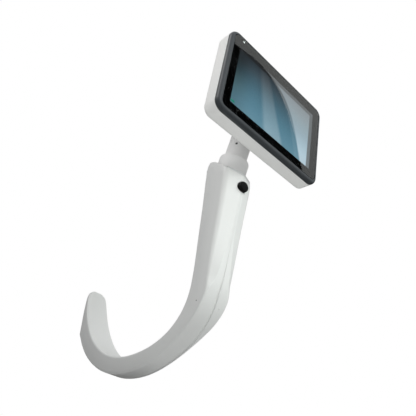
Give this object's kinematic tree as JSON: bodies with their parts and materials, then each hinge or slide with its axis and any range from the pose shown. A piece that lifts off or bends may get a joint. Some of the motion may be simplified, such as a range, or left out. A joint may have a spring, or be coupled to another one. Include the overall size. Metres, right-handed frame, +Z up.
{
  "type": "video laryngoscope",
  "caption": "Video laryngoscope: white handle with a deep J-shaped blade and clear tip window, neck that swivels and tilts a small framed colour screen.",
  "frame": {"origin": "centre of the bounding box in plan, at the lowest point of the J-shaped blade", "axes": "+Z up along the handle towards the monitor, +X across the screen to the operator's right, +Y away from the operator towards the blade tip"},
  "size_m": [0.1005, 0.1728, 0.2123],
  "materials": {
    "shell_white": "satin",
    "sleeve_white": "satin",
    "bezel_grey": "satin",
    "glass": "polished",
    "mask_black": "gloss",
    "display": "gloss",
    "steel": "satin",
    "board_green": "satin",
    "chip_black": "matte",
    "led_white": "gloss",
    "rubber_black": "matte",
    "window_clear": "polished",
    "core_grey": "matte",
    "battery_wrap": "satin",
    "bush_tan": "satin",
    "cable_black": "satin",
    "lens_glass": "polished",
    "socket_metal": "polished"
  },
  "bodies": {
    "handle": {"blade_shell_left": "sleeve_white", "blade_shell_right": "sleeve_white", "tip_window": "window_clear", "handle_core_left": "core_grey", "handle_core_right": "core_grey", "core_screws": "steel", "camera_wand": "core_grey", "wand_cable": "cable_black", "camera_housing": "chip_black", "camera_lens": "lens_glass", "camera_leds": "led_white", "swivel_collar": "shell_white", "swivel_bush": "bush_tan", "button_spring": "steel"},
    "neck": {"neck_head": "shell_white", "neck_tube": "shell_white", "neck_set_screw": "steel", "swivel_shaft": "steel", "swivel_washer": "steel", "swivel_clip": "steel", "neck_cable": "cable_black", "tilt_washers": "bush_tan"},
    "monitor": {"rear_shell": "shell_white", "front_bezel": "bezel_grey", "cover_glass": "glass", "screen_mask": "mask_black", "lcd_panel": "display", "lcd_backlight": "steel", "status_led": "led_white", "main_board": "board_green", "board_screws": "steel", "board_chips": "chip_black", "cable_socket": "chip_black", "charge_socket": "socket_metal", "power_switch": "steel", "battery_pack": "battery_wrap", "shell_screws": "steel", "hinge_bracket": "steel", "bracket_screws": "steel", "tilt_pin": "steel"},
    "lock_button": {"lock_button": "rubber_black"},
    "power_button": {"power_button": "rubber_black"},
    "socket_flap": {"socket_flap": "rubber_black"}
  },
  "joints": [
    {"name": "monitor_swivel", "type": "hinge", "parent": "handle", "child": "neck", "pos_m": [0, -0.0531, 0.14567], "axis": [0, -0.2113, 0.9774], "range_deg": [-135, 135]},
    {"name": "monitor_tilt", "type": "hinge", "parent": "neck", "child": "monitor", "pos_m": [0, -0.05902, 0.17307], "axis": [-1, 0, 0], "range_deg": [-8, 85]},
    {"name": "lock_button_press", "type": "slide", "parent": "handle", "child": "lock_button", "axis": [0, 1, 0], "range_m": [0, 0.0024], "stiffness_N_per_m": 600, "deforming": ["button_spring"]},
    {"name": "power_button_press", "type": "slide", "parent": "monitor", "child": "power_button", "axis": [0, 0, -1], "range_m": [0, 0.0005], "stiffness_N_per_m": 2000},
    {"name": "socket_flap_hinge", "type": "hinge", "parent": "monitor", "child": "socket_flap", "pos_m": [0.05, -0.0781, 0.16102], "axis": [0, 1, 0], "range_deg": [0, 110]}
  ]
}
